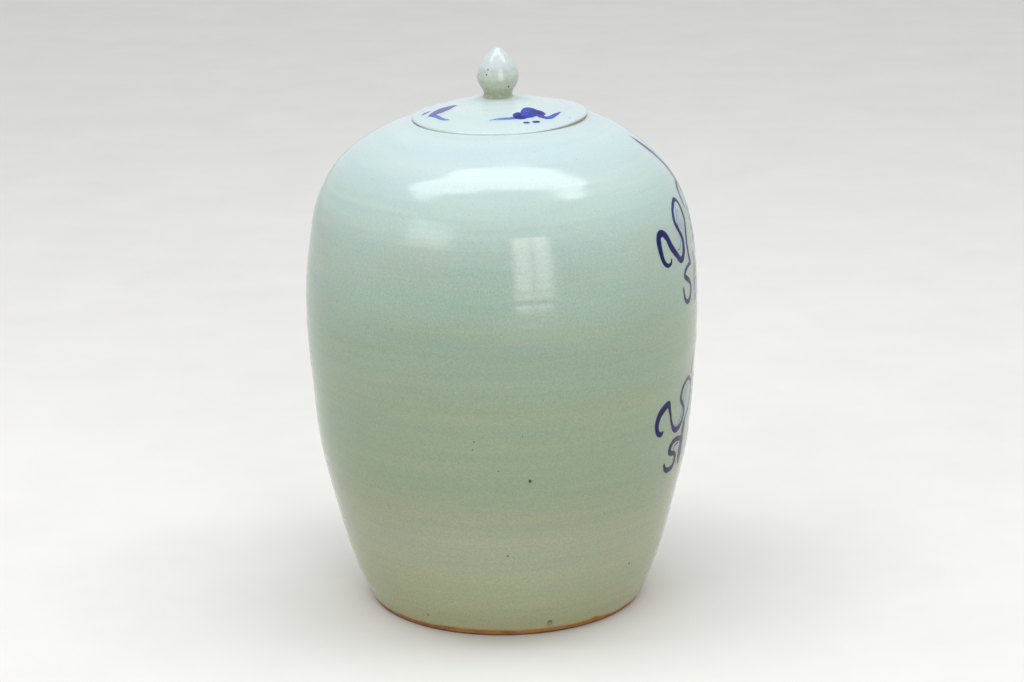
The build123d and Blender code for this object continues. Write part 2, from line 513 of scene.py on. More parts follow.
def inner_celadon():
    """Thinner glaze inside and under the base, greyer and less even."""
    n = material_nodes("inner_celadon_glaze")
    drift = n.noise(16.0, 4.0, 0.6, 2.0, (1, 1, 2.0))
    stops = [(0.3, (0.36, 0.43, 0.33)), (0.5, (0.45, 0.53, 0.43)), (0.7, (0.54, 0.60, 0.52))]
    patches = n.spread(n.noise(90.0, 4.0, 0.65, 6.0), 0.60, 0.74, 0.0, 0.5)
    return glaze(n, n.mix(patches, n.ramp(drift, stops), (0.42, 0.34, 0.24)), 0.14, 0.34, 1.6)


def biscuit(name, pale, dark, darkest, grime_and_contact_shade=0.0):
    """Bare fired clay: buff with grit, iron-brown blushes and a sandy surface.

    The last argument is how far up from the table the clay is darkened: partly grime from use, and
    partly a painted contact shadow where the foot meets the table."""
    n = material_nodes(name)
    blush = n.noise(34.0, 5.0, 0.65, 1.0, (1, 1, 2.5))
    grit = n.noise(1400.0, 3.0, 0.7, 4.0)
    colour = n.mix(n.spread(blush, 0.35, 0.70), pale, dark)
    colour = n.mix(n.spread(grit, 0.55, 0.75, 0.0, 0.55), colour, darkest)
    if grime_and_contact_shade:
        stains = n.spread(n.noise(75.0, 3.0, 0.6, 3.0), 0.48, 0.70, 0.0, 0.55)
        colour = n.mix(stains, colour, tuple(0.5 * (a + b) for a, b in zip(dark, darkest)))
        # Darker towards the table: partly grime from use, partly a painted contact shadow under the
        # foot.
        level = n.shaken(n.height(), blush, 2.0)
        colour = n.mix(n.spread(level, 0.3 * grime_and_contact_shade, grime_and_contact_shade, 0.80, 0.0), colour, darkest)
    rough = n.spread(grit, 0.2, 0.8, 0.62, 0.92)
    coarse = n.noise(480.0, 4.0, 0.6, 8.0)
    normal = n.bump(grit, 0.10, 0.8, n.bump(coarse, 0.25, 0.8))
    return n.finish(Base_Color=colour, Roughness=rough, Normal=normal, IOR=1.45)


def cobalt():
    """Cobalt painted under the same glaze: watery where thin, near black where it is heaped."""
    n = material_nodes("cobalt_under_glaze")
    ink = n.attribute("ink")
    grain = n.noise(420.0, 4.0, 0.7, 3.0)
    wash = n.noise(120.0, 3.0, 0.6, 7.0)
    uneven = n.shaken(n.attribute("tone"), wash, 0.45)
    uneven = n.shaken(uneven, grain, 0.28, clamp=True)
    blue = n.ramp(uneven, [
        (0.0, (0.19, 0.35, 0.64)), (0.35, (0.052, 0.085, 0.40)),
        (0.7, (0.016, 0.020, 0.21)), (1.0, (0.007, 0.009, 0.065)),
    ])
    purple = n.ramp(uneven, [
        (0.0, (0.23, 0.21, 0.35)), (0.35, (0.115, 0.085, 0.21)),
        (0.7, (0.042, 0.026, 0.082)), (1.0, (0.018, 0.009, 0.028)),
    ])
    painted = n.mix(n.attribute("hue"), blue, purple)
    feathered = n.spread(n.shaken(ink, grain, 0.35), 0.12, 0.85)
    colour = n.mix(feathered, celadon_and_sky_light_colour(n), painted)
    return glaze(n, colour, gloss=n.spread(ink, 0.1, 0.8, 0.5, 0.10))


def iron_speck(name, around):
    """A grain of iron melted into the glaze, or a pit that shows the clay's orange."""
    n = material_nodes(name)
    ragged = n.noise(2200.0, 2.0, 0.6, 1.0)
    pit = n.shaken(n.attribute("pit"), ragged, 0.5, clamp=True)
    colour = n.mix(n.spread(pit, 0.15, 0.75), around(n), (0.28, 0.13, 0.045))
    stain = n.shaken(n.attribute("stain"), ragged, 0.5, clamp=True)
    return glaze(n, n.mix(n.spread(stain, 0.15, 0.65), colour, (0.050, 0.036, 0.022)))


CELADON = celadon()
FINIAL_CELADON = finial_celadon()
INNER_CELADON = inner_celadon()
BISCUIT = biscuit("biscuit_buff", (0.46, 0.34, 0.24), (0.34, 0.20, 0.13), (0.16, 0.09, 0.06))
# The bare foot, darkened at its bottom edge by grime and by a painted contact shadow.
BARE_FOOT_CLAY = biscuit(
    "biscuit_foot", (0.42, 0.20, 0.058), (0.27, 0.12, 0.034), (0.06, 0.030, 0.012), grime_and_contact_shade=1.5
)
COBALT = cobalt()
IRON = iron_speck("iron_speck", celadon_and_sky_light_colour)
FINIAL_IRON = iron_speck("iron_speck_finial", finial_colour)


# ---- the jar
def glaze_stops(az):
    """Height of the glaze's lower edge round the foot: wavy, with a few short runs."""
    wave = ripple(az, [(0.24, 3, 0.3), (0.20, 7, 1.9), (0.15, 17, 4.4), (0.13, 31, 0.8)])
    runs = [(-0.90, -1.3, 0.045), (-0.70, 0.5, 0.12), (1.4, 0.8, 0.07), (2.9, 0.6, 0.05)]
    fall = sum(size * swell(az, where, width) for where, size, width in runs)
    return BARE_FOOT + 0.5 + wave - fall


def outer_coat():
    """The celadon coat, from its wavy edge above the foot to its edge at the mouth ring."""
    columns, rows, bead = 448, 250, 6
    az = full_turn(columns)
    ones = np.ones_like(az)
    low = JAR.s_at_z(glaze_stops(az)) + GLAZE
    high = JAR.s_at_rim(RIM_R - 1.6)
    s = low + (high - low) * np.linspace(0, 1, rows)[:, None]
    # Both edges are rounded over, from the clay up to the coat's face.
    coat = GLAZE + 0.15
    rising = np.linspace(pi / 2, 0, bead, endpoint=False)[:, None]
    falling = rising[::-1]
    s_low = low - 0.9 * coat * np.sin(rising)
    s_high = (high + 0.35 * np.sin(falling)) * ones
    s_all = np.concatenate([s_low, s, s_high])
    lift_low = -coat * (1 - np.cos(rising)) * ones
    lift_high = -0.5 * (1 - np.cos(falling)) * ones
    # Near the mouth ring the coat thickens, but it stays under the lid's seat.
    climb = unit((s_all - high + 5.2) / 3.4)
    lift = np.concatenate([lift_low, np.zeros_like(s), lift_high])
    points = jar_surface(az, s_all, lift + 0.66 * climb * climb * (3 - 2 * climb))
    points[..., 2] = np.minimum(points[..., 2], SEAT_Z + seat_wave(az) + 0.05)
    thin = np.maximum(unit(1 + low - s_all), 0.5 * unit(1 - (high - s_all) / 0.4))
    faces = turned_faces(rows + 2 * bead, columns)
    obj = new_object("jar_celadon", points, faces, {"thin": thin})
    place(obj, "jar", "celadon", CELADON, "outer_glaze")


def clay_relief(az, r, z):
    """The thrown wall's relief, faded out under the jar's floor."""
    return jar_relief(az, z) * unit((r - 40) / 10), mouth_rise(az, z)


def hollow_path(outline, floor_z, top_s):
    """The jar's inside from the middle of its floor up to distance top_s on outline."""
    # The fillet stops a little short of upright, where the leaning wall takes over.
    share = 0.93
    wall_z = floor_z + share * FLOOR_FILLET
    flat_r = outline.r_at_z(wall_z) - FLOOR_FILLET
    flat = [(r, floor_z) for r in np.linspace(AXIS_GAP, flat_r, 20)[:-1]]
    corner = [
        (flat_r + FLOOR_FILLET * sin(a), floor_z + FLOOR_FILLET * (1 - cos(a)))
        for a in np.linspace(0, share * pi / 2, 10)
    ]
    return flat + corner + outline.run(outline.s_at_z(wall_z), top_s, 110)[2:]


def lower_clay():
    inner = hollow_path(HOLLOW, FLOOR_TOP, HOLLOW.s_at_z(BELLY_Z))
    outer = CLAY.run(CLAY.s_at_z(BELLY_Z), CLAY.s_at_z(FLOOR_Z), 90)
    under = [(r, FLOOR_Z) for r in np.linspace(outer[-1][0], AXIS_GAP, 16)[1:]]
    obj = turned_object("lower_body_clay", inner + outer + under, 160, clay_relief)
    place(obj, "jar", "biscuit", BISCUIT, "lower_body")


def upper_clay():
    outer = CLAY.run(CLAY.s_at_z(BELLY_Z), CLAY.s_at_rim(RIM_R), 90)
    inner = HOLLOW.run(HOLLOW.s_at_rim(RIM_R), HOLLOW.s_at_z(BELLY_Z), 90)
    obj = turned_object("upper_body_clay", outer + inner, 160, clay_relief)
    place(obj, "jar", "biscuit", BISCUIT, "upper_body")


def inside_relief(az, r, z):
    """Fingers leave deeper rings inside, and the two halves meet in a wiped ridge."""
    rings = waves(az, z, [(0.22, 1, 11.0, 0.0), (0.12, -2, 17.0, 1.0)])
    ridge = -0.9 * bump(z, BELLY_Z + 2, 3)
    return (rings + ridge + jar_relief(az, z)) * unit((r - 60) / 8), mouth_rise(az, z)


def inner_coat():
    path = hollow_path(INSIDE, FLOOR_TOP + INNER_GLAZE, INSIDE.s_at_rim(RIM_R - 1))
    down = refined(path[::-1], 2, closed=False)
    obj = turned_object("inner_celadon_coat", down, 224, inside_relief, closed_path=False)
    place(obj, "jar", "inner_celadon", INNER_CELADON, "inner_glaze")


def clay_grain(az, r, z, size):
    """Low lumps and turning marks of about size, as on bare clay."""
    parts = [(size, 5, 7.0, 0.2), (0.7 * size, 13, 3.1, 1.1), (0.5 * size, 29, 2.2, 2.3)]
    return waves(az, z + r, parts)


def square_ring(inner_r, outer_r, low_z, high_z):
    """Corners of a ring's section, from the lower inside one round to the upper inside one."""
    return [(inner_r, low_z), (outer_r, low_z), (outer_r, high_z), (inner_r, high_z)]


def foot():
    """The ring the jar stands on: trimmed flat, its edges rubbed round, bare all over."""
    low = [(FOOT_INNER_R, 0.0), (CLAY.r_at_z(0.02), 0.0)]
    corners = low + [(CLAY.r_at_z(FLOOR_Z), FLOOR_Z), (FOOT_INNER_R - 1.5, FLOOR_Z)]
    path = refined(rounded(corners, [0.9, 0.55, 0.1, 0.1]), 0.9)

    def relief(az, r, z):
        marks = clay_grain(az, r, z, 0.05)
        outer_side = unit((r - 84) / 4) * unit(z / 0.8)
        return (marks + jar_relief(az, z)) * outer_side, np.abs(marks) * (z < 0.1)

    obj = turned_object("foot_ring_biscuit", path, 384, relief)
    place(obj, "jar", "bare_foot", BARE_FOOT_CLAY, "foot_ring")


def rim():
    """The bare ring round the mouth: its flat top is the lid's seat."""
    corners = square_ring(MOUTH_R, RIM_R, RIM_BOTTOM, SEAT_Z)
    path = refined(rounded(corners, [1.2, 0.2, 0.35, 1.2], 6), 1.19)

    def relief(az, r, z):
        marks = clay_grain(az, r, z, 0.035)
        return marks, seat_wave(az) - np.abs(marks) * (z > SEAT_Z - 0.3)

    obj = turned_object("mouth_ring_biscuit", path, 288, relief)
    place(obj, "jar", "biscuit", BISCUIT, "mouth_ring")


def base_patch():
    """The glaze under the floor: an even coat with a rounded edge."""
    path = []
    for r in np.linspace(AXIS_GAP, BASE_GLAZE_R, 44):
        near_edge = max(0.0, 1 - (BASE_GLAZE_R - r) / 1.5)
        path.append((r, FLOOR_Z - INNER_GLAZE * sqrt(1 - near_edge ** 2)))

    def relief(az, r, z):
        marks = clay_grain(az, r, z, 0.02)
        return marks, 0.4 * marks

    obj = turned_object("base_celadon_patch", path, 192, relief, closed_path=False)
    place(obj, "jar", "inner_celadon", INNER_CELADON, "base_glaze")


outer_coat()
lower_clay()
upper_clay()
inner_coat()
foot()
rim()
base_patch()


# ---- the lid
LID_RIM_Z = SEAT_Z + 1.4
LID_RISE = 14.0
LID_ARC = 600.0
LID_FLAT = 1.5
LID_THICKNESS = 7.0
LID_SHIFT = 0.9
LID_EDGE_R = LID_R - 0.45


def lid_height(r, depth=0.0):
    """Height of the lid's top at radius r, depth under its glaze."""
    half_chord = hypot(LID_R, LID_RISE) / 2
    reach = sqrt(LID_ARC ** 2 - half_chord ** 2) / (2 * half_chord)
    centre_r = LID_R / 2 - LID_RISE * reach
    centre_z = LID_RIM_Z + LID_RISE / 2 - LID_R * reach
    cone = centre_z + np.sqrt((LID_ARC - depth) ** 2 - (r - centre_r) ** 2)
    return np.minimum(cone, LID_RIM_Z + LID_RISE - LID_FLAT - depth)


def lid_rise(az, r):
    """The lid warped a little as it dried: higher to the right, and pressed low at the front."""
    share = unit(r / LID_R)
    rings = waves(az, r, [(0.05, 1, 8.0, 0.0), (0.04, 2, 19.0, 1.0)])
    seat = 0.3 + (seat_wave(az) - 0.3) * share
    tilt = 0.56 * (1 + np.cos(az + 0.25))
    pressed = -(0.4 + tilt) * swell(az, -1.62, 0.85, 4)
    return seat + tilt * share ** 2 + pressed * share ** 5 + rings


def lid_bare_edge(az):
    """Height of the bare clay between the seat and the lid's glaze, widest on the right."""
    right, left, back = swell(az, -0.12, 0.66), swell(az, -2.85, 0.24), swell(az, 1.7, 0.5)
    wave = ripple(az, [(0.05, 5, 0.4), (0.04, 13, 2.0)])
    return 0.03 + (1.95 * right + 0.70 * left + 0.5 * back) * (1 + wave)


def lid_point(az, r, lift=0.0):
    """Points of the lid's glazed top at azimuth az and radius r."""
    x = r * np.cos(az) + LID_SHIFT * unit(r / LID_R) ** 2
    z = lid_height(r) + lid_rise(az, r) + lift
    return np.stack(np.broadcast_arrays(x, r * np.sin(az), z), axis=-1)


def lid_coat():
    """The glaze on the lid's top, rolled over its rim and stopping at a wavy edge."""
    columns, rows, roll, drop = 320, 96, 8, 6
    az = full_turn(columns)
    seat = SEAT_Z + seat_wave(az[0])
    edge_round = 1.1 - 0.5 * swell(az, -0.2, 0.9)
    inner_r, outer_r = 0.7 * BUD_R, LID_EDGE_R - edge_round
    top = lid_point(az, inner_r + (outer_r - inner_r) * np.linspace(0, 1, rows)[:, None])
    turn = np.linspace(0, 0.9 * pi / 2, roll + 1)[1:, None]
    fall = 0.7 * edge_round * (1 - np.cos(turn)) + 0.10 * np.sin(turn)
    rolled = lid_point(az, outer_r + edge_round * np.sin(turn), -fall)
    last_z = rolled[-1, :, 2]
    stop_z = np.minimum(seat + lid_bare_edge(az[0]), last_z - 0.12)
    side = rolled[-1:] * np.ones((drop, 1, 1))
    side[..., 2] += (stop_z - last_z) * np.linspace(0, 1, drop + 1)[1:, None]
    under = side[-1:].copy()
    under[..., :2] *= 1 - 0.45 / LID_R
    under[..., 2] += 0.05
    points = np.concatenate([top, rolled, side, under])
    near_edge = unit(1 - (points[..., 2] - stop_z) / 0.3)
    bare = unit((stop_z - seat - 0.3) / 0.5)
    outer = np.hypot(points[..., 0], points[..., 1]) > LID_EDGE_R - 0.8
    values = {"thin": near_edge * outer * (0.10 + 0.90 * bare)}
    faces = [face[::-1] for face in turned_faces(len(points), columns)]
    place(new_object("lid_celadon", points, faces, values), "lid", "celadon", CELADON, "lid_glaze")


def lid_clay():
    """The plate under the glaze: a flat seat, a shallow hollow below and a bare edge."""
    edge_r = LID_EDGE_R - 0.25
    top_r = np.linspace(AXIS_GAP, edge_r - 0.9, 40)
    top = [(r, float(lid_height(r, GLAZE))) for r in top_r]
    top_z = top[-1][1]
    edge = [(edge_r - 0.25, top_z - 0.20), (edge_r, top_z - 0.6)]
    seat = [(edge_r, SEAT_Z + 0.15), (edge_r - 0.25, SEAT_Z + 0.02)]
    under_r = np.linspace(edge_r - 1, AXIS_GAP, 48)
    under = [(r, max(SEAT_Z + 0.02, float(lid_height(r, LID_THICKNESS)))) for r in under_r]
    path = refined(top + edge + seat + under, 1.5)

    def relief(az, r, z):
        whole, seat_part = lid_rise(az, r), seat_wave(az)
        up = unit((z - SEAT_Z - 0.1) / 0.9)
        rise = np.where(r > 36, seat_part + (whole - seat_part) * up, whole)
        marks = waves(az, r, [(0.05, 3, 5.0, 0.3), (0.03, 17, 2.4, 1.0)])
        return 0.0, rise + marks * (r < 36) * (z < lid_height(r, 4))

    obj = turned_object("lid_plate_clay", path, 256, relief)
    obj.data.transform(Matrix.Translation((0.9 * LID_SHIFT * MM, 0, 0)))
    place(obj, "lid", "biscuit", BISCUIT, "lid_plate")


def flange():
    """The bare ring under the lid, trimmed with a tool and a little worn at its lip."""
    corners = square_ring(FLANGE_R - 5, FLANGE_R, FLANGE_BOTTOM, SEAT_Z)
    path = refined(rounded(corners, [1.5, 1.5, 0.1, 0.1]), 1.21)

    def relief(az, r, z):
        marks = waves(az, z, [(0.06, 2, 3.0, 0.3), (0.05, 9, 1.7, 1.0)])
        taper = -0.35 * (SEAT_Z - z) / (SEAT_Z - FLANGE_BOTTOM)
        worn = np.abs(ripple(az, [(0.12, 3, 0.0), (0.07, 8, 2.0)]))
        joined = 0.8 * unit(z - SEAT_Z + 1)
        low = unit((FLANGE_BOTTOM + 4 - z) / 3)
        return marks * unit((SEAT_Z - z) / 2) + taper, worn * low + joined

    obj = turned_object("lid_flange_biscuit", path, 256, relief)
    place(obj, "lid", "biscuit", BISCUIT, "lid_flange")


def finial_outline():
    """Half section of the bud from its foot on the lid to its tip."""
    waist = [(10.6, FINIAL_FOOT_Z), (9.45, 334.9), (9.05, 336.6), (9.85, 338.9), (11.5, 341.7)]
    rise = 19.9
    # The bud itself, as shares of its radius and of its rise under the tip.
    bud_shares = [
        (1.0, 1.0), (0.945, 0.76), (0.865, 0.60), (0.715, 0.44), (0.505, 0.27), (0.265, 0.11),
        (0.125, 0.03), (0.010, 0.0),
    ]
    knots = waist + [(r * BUD_R, TIP_Z - down * rise) for r, down in bud_shares]
    return Outline(smooth_path(knots, 0.35))


FINIAL = finial_outline()


def finial_relief(az, r, z):
    """A hand-shaped bud: slightly oval and three-sided, with faint rings."""
    shape = 0.10 * np.cos(3 * az + 0.5) + 0.12 * np.cos(2 * az) + 0.05
    rings = waves(az, z, [(0.05, 1, 4.0, 0.0), (0.05, -2, 9.0, 1.3)])
    return (shape + rings) * unit(r / BUD_R), 0.0


def bud():
    name = "finial_celadon_bud"
    obj = turned_object(name, FINIAL.p, 160, finial_relief, closed_path=False, caps=True)
    place(obj, "lid", "celadon", FINIAL_CELADON, "finial_glaze")


def luting_roll():
    """The glaze gathers in a thick darker ring where the bud stands on the lid."""
    columns, around = 160, 14
    az = full_turn(columns)
    turn = np.linspace(0, 2 * pi, around, endpoint=False)[:, None]
    fat = 0.42 + ripple(az, [(0.10, 3, 0.5), (0.07, 7, 2.5)])
    z = FINIAL_FOOT_Z + 1.55 + 0.75 * fat * np.sin(turn) + 0.06 * np.cos(az)
    points = ring_points(9.1 + fat * np.cos(turn), z, az)
    obj = new_object("finial_pooled_glaze", points, turned_faces(around, columns, True))
    place(obj, "lid", "celadon", FINIAL_CELADON)


lid_coat()
lid_clay()
flange()
bud()
luting_roll()
finial_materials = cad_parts["finial"].data.materials
finial_materials.clear()
finial_materials.append(BISCUIT)


# ---- painting
class Paint:
    """Brush strokes laid on a flat grid, which is then bent onto a glazed surface.

    ink says how far the cobalt covers the glaze, tone how heavy it is, and hue how purple."""

    def __init__(self, low, high, step):
        low, high = np.array(low), np.array(high)
        columns, rows = np.ceil((high - low) / step).astype(int) + 1
        u, v = low[0] + step * np.arange(columns), low[1] + step * np.arange(rows)
        self.u, self.v = np.meshgrid(u, v, indexing="ij")
        self.ink, self.tone, self.hue = (np.zeros(self.u.shape) for _ in range(3))
        self.near = np.zeros(self.u.shape, bool)

    def stroke(self, points, tone=0.6, hue=0.3, cover=1.0, heap=0.0, soft=0.7):
        """One stroke of the brush. points holds (u, v, half width).

        tone and hue may each be a pair, for the start and the end of the stroke. hue runs from
        blue at 0 to a dry purple-brown at 1. cover under 1 is a watery wash, and heap darkens
        the stroke's edge, where the wet pigment gathers."""
        line = smooth_path(points, 0.45)
        reach = line[:, 2].max() + 1.6
        low, high = line.min(axis=0) - reach, line.max(axis=0) + reach
        i, j = np.nonzero(
            (self.u > low[0]) & (self.u < high[0]) & (self.v > low[1]) & (self.v < high[1])
        )
        here = np.stack([self.u[i, j], self.v[i, j]], axis=1)
        width = np.maximum(line[:, 2], 0.05)
        inside, along, core = (np.zeros(len(here)) for _ in range(3))
        at_once = 4000
        for start in range(0, len(here), at_once):
            part = slice(start, start + at_once)
            away = here[part, None] - line[None, :, :2]
            depth = width - np.hypot(away[..., 0], away[..., 1])
            nearest = depth.argmax(axis=1)
            inside[part] = depth.max(axis=1)
            along[part] = nearest / (len(line) - 1)
            core[part] = inside[part] / width[nearest]
        ink = cover * unit(inside / soft + 0.5)
        strength = np.interp(along, (0, 1), np.broadcast_to(tone, 2))
        gathered = heap * bump(inside, 0.6, 0.45)
        weight = unit(strength * (0.72 + 0.28 * unit(core * 1.6)) + gathered)
        colour = np.interp(along, (0, 1), np.broadcast_to(hue, 2))
        ink_before, tone_before = self.ink[i, j], self.tone[i, j]
        on_top = ink >= ink_before
        overlap = np.minimum(ink_before, ink) * np.minimum(weight, tone_before)
        self.tone[i, j] = unit(np.where(on_top, weight, tone_before) + 0.2 * overlap)
        self.hue[i, j] = np.where(on_top, colour, self.hue[i, j])
        self.ink[i, j] = np.maximum(ink_before, ink)
        self.near[i, j] |= inside > -1.1

    def mesh(self, name, surface, lift):
        """The painted cells as a mesh. surface(u, v, lift) gives points over the glaze."""
        near = self.near
        keep = near[:-1, :-1] | near[1:, :-1] | near[:-1, 1:] | near[1:, 1:]
        used = np.zeros(near.shape, bool)
        for rows in (slice(None, -1), slice(1, None)):
            for columns in (slice(None, -1), slice(1, None)):
                used[rows, columns] |= keep
        index = np.full(near.shape, -1)
        index[used] = np.arange(used.sum())
        i, j = np.nonzero(keep)
        corners = [index[i, j], index[i + 1, j], index[i + 1, j + 1], index[i, j + 1]]
        points = surface(self.u[used], self.v[used], lift)
        values = {"ink": self.ink[used], "tone": self.tone[used], "hue": self.hue[used]}
        return new_object(name, points, np.stack(corners, axis=1).tolist(), values)


# How far the painting and the specks are laid above the glaze.
PAINT_LIFT = 0.05
JAR_SPECK_LIFT, LID_SPECK_LIFT, BUD_SPECK_LIFT = 0.03, 0.04, 0.06
# Flat coordinates are wrapped round the jar as if it were this wide all the way up.
WRAP_R = 125.0


def on_jar(u, v, lift):
    """Flat paint coordinates to the jar: u round from +X, v the height on the wall."""
    return jar_surface(u / WRAP_R, JAR.s_at_z(v), lift)


def on_lid(u, v, lift):
    """Flat paint coordinates to the lid, as seen from above: u along X, v along Y."""
    return lid_point(np.arctan2(v, u), np.hypot(u, v), lift)


# Ribbons of the left half of the painting: (tone, hue, cover, points), where a point is
# (u, height, half width). The right half is drawn as their mirror image.
UPPER_RIBBONS = [
    ((1.0, 0.72), (0.1, 0.6), 1.0, [
        (-67, 241, 0.7), (-68, 239, 0.9), (-72, 238.5, 1.1), (-76, 241.5, 1.5), (-78, 247.5, 1.9),
        (-78.5, 254, 2.3), (-77, 258.5, 2.2), (-72.5, 259, 1.9), (-68, 255, 2.1), (-65, 249, 2.2),
        (-59.5, 243, 2), (-54, 238, 1.8), (-49.5, 239, 2), (-46.5, 243.5, 2), (-46, 249.5, 1.7),
        (-49, 255.5, 1.5), (-52.5, 261, 1.6), (-51.5, 266, 1.5), (-48, 270, 1.3), (-41, 273, 1.2),
        (-36.5, 272.5, 1.2), (-33.5, 269, 1.4), (-32.5, 262.5, 1.5), (-34, 256.5, 1.5),
        (-37.5, 250, 1.4), (-39, 243, 1.4), (-38, 236.5, 1.5), (-36.5, 232, 1.7),
    ]),
    (0.82, (0.6, 0.75), 1.0, [
        (-36.5, 232, 1.2), (-43, 231, 1.2), (-48, 229, 1.4), (-49, 226, 1.5), (-44.5, 223, 1.6),
        (-39.5, 219.5, 1.3), (-38, 215, 1.5), (-41.5, 210, 1.6), (-47.5, 209, 1.3),
        (-51.5, 213, 1.1), (-53, 219, 0.8),
    ]),
    (0.4, 0.8, 0.75, [
        (-24.5, 235, 1), (-25, 226.5, 1.7), (-27, 217.5, 1.9), (-25.5, 209.5, 1.9), (-27, 205, 1),
    ]),
    (0.25, 0.2, 0.55, [(-43, 269.5, 0.6), (-48, 262, 0.8), (-48.5, 257, 0.6)]),
    (0.3, 0.2, 0.6, [(-50, 249.5, 0.5), (-52.5, 245, 0.6), (-56.5, 245, 0.4)]),
    (0.1, 0.25, 0.38, [(-41.5, 264.5, 3), (-42.5, 259, 3.6), (-42, 252.5, 2.6), (-43, 246.5, 1.6)]),
]
LOWER_RIBBONS = [
    ((1.0, 0.78), (0.25, 0.75), 1.0, [
        (-76, 129.5, 0.8), (-78, 128.5, 1.5), (-82, 130.5, 1.6), (-83.5, 135, 1.9),
        (-83, 139, 2.2), (-81, 142.5, 2.3), (-76.5, 145.5, 2.4), (-72.5, 147, 2.3),
        (-70, 146.5, 1.7), (-69, 143, 1.4), (-67, 138, 1.1), (-65, 133, 1.1), (-62, 128.5, 1.4),
        (-58, 126, 1.7), (-52.5, 126, 1.7), (-47.5, 128.5, 1.7), (-44.5, 132.5, 1.6),
        (-44.5, 136.5, 1.5), (-47.5, 140, 1.3), (-51, 143.5, 1.5), (-52, 147, 1.8),
        (-51, 150.5, 1.5), (-47.5, 153.5, 1.4), (-41, 155.5, 1.4), (-35, 154.5, 1.4),
        (-30, 150.5, 1.5), (-28, 145, 1.5), (-29, 139.5, 1.4), (-31.5, 135.5, 1.4),
        (-35.5, 131.5, 1.3), (-40, 128, 1.3), (-43, 124.5, 1.3), (-44.5, 120, 1.4),
        (-45, 116.5, 1.5),
    ]),
    ((1.0, 0.9), 0.85, 1.0, [
        (-45, 116.5, 1.4), (-52.5, 118.5, 1.6), (-59, 118.5, 1.7), (-63, 116, 1.9),
        (-64, 113, 1.8), (-60.5, 110.5, 1.5), (-56, 109.5, 1.4), (-53, 106.5, 1.6),
        (-53, 103, 1.9), (-55.5, 100, 1.9), (-62, 99.5, 1.7), (-67, 101.5, 1.4), (-69.5, 105, 1),
    ]),
    (0.32, 0.35, 0.6, [
        (-38.5, 150, 0.6), (-45, 146.5, 0.7), (-46.5, 141, 0.7), (-48, 135.5, 0.7),
        (-53, 129.5, 0.6), (-57.5, 128.5, 0.5), (-61, 130.5, 0.3),
    ]),
    (0.5, 0.7, 0.8, [(-49.5, 115, 0.5), (-55.5, 115, 0.6), (-58, 112.5, 0.5)]),
    (0.66, 0.75, 0.9, [
        (-40, 125, 1.5), (-42, 118.5, 2.5), (-43.5, 112.5, 3.4), (-43.5, 106.5, 3.8),
        (-43, 100.5, 2.4),
    ]),
    (0.5, 0.6, 0.9, [(-26.5, 165.5, 0.8), (-28, 162, 1.4), (-29, 158.5, 1.4), (-23.5, 152.5, 0.8)]),
    (0.1, 0.3, 0.38, [(-38, 146, 3), (-38.5, 141, 3.4), (-41, 136.5, 1.8), (-44, 128, 1.2)]),
]


def ribbons(paint, strokes):
    """Both ribbons of one flower: the left as listed, and the right mirrored by a freer hand."""
    for tone, hue, cover, listed in strokes:
        points = [(u, v, 1.1 * w + 0.15) for u, v, w in listed]
        mirrored = [
            (-0.97 * u + 1.4 * sin(v / 9), v + 1.6 * sin(u / 11), w * (1 + 0.12 * sin(v / 4)))
            for u, v, w in points
        ]
        for side in (points, mirrored):
            paint.stroke(side, tone, hue, cover, heap=0.12)


def blossom(paint, cu, cv, size):
    """A chrysanthemum: two rows of washed petals with darker sides round a dotted heart."""

    def away(distance, angle):
        return cu + distance * cos(angle), cv + distance * sin(angle)

    widths = [(0.34, 0.30), (0.58, 0.80), (0.80, 1.0), (0.95, 0.80), (1.02, 0.25)]
    petal_rows = ((15, 1.0, 0.155, 0.14, 0.10), (10, 0.64, 0.15, 0.30, 0.35))
    for petals, reach, wide, tone, start in petal_rows:
        for k in range(petals):
            a = start + 2 * pi * k / petals
            long = size * reach * (1.0 + 0.06 * sin(4 * k + 1.0))
            petal = [(*away(long * t, a), size * wide * w) for t, w in widths]
            paint.stroke(petal, tone + 0.10 * (k % 2), heap=0.50, soft=0.5)
            side = [(*away(long * t, a + 0.10), 0.45) for t in (0.45, 0.7, 0.93)]
            paint.stroke(side, 0.72, cover=0.9)
    for k in range(8):
        u, v = away(0.17 * size, 2 * pi * k / 8)
        paint.stroke([(u, v, 0.8), (u + 0.4, v, 0.8)], 0.9)
    paint.stroke([(cu - 0.8, cv, 1.3), (cu + 0.8, cv + 0.3, 1.3)], 0.85)


def leaf(paint, start, end, width, bend):
    """A pointed leaf with a dark midrib and two veins, from start to end."""
    (u0, v0), (u1, v1) = start, end
    du, dv = u1 - u0, v1 - v0

    def at(t, off=0.0):
        side = bend * sin(pi * t) + off
        return u0 + du * t - dv * side, v0 + dv * t + du * side

    widths = [(0.0, 0.15), (0.2, 0.75), (0.45, 1.0), (0.7, 0.70), (0.88, 0.30), (1.0, 0.06)]
    paint.stroke([(*at(t), width * w) for t, w in widths], 0.28, heap=0.45, soft=0.5)
    paint.stroke([(*at(t), 0.42) for t in (0.0, 0.3, 0.6, 0.85)], 0.8)
    for off in (-0.12, 0.12):
        paint.stroke([(*at(0.25), 0.35), (*at(0.5, off), 0.3)], 0.7)


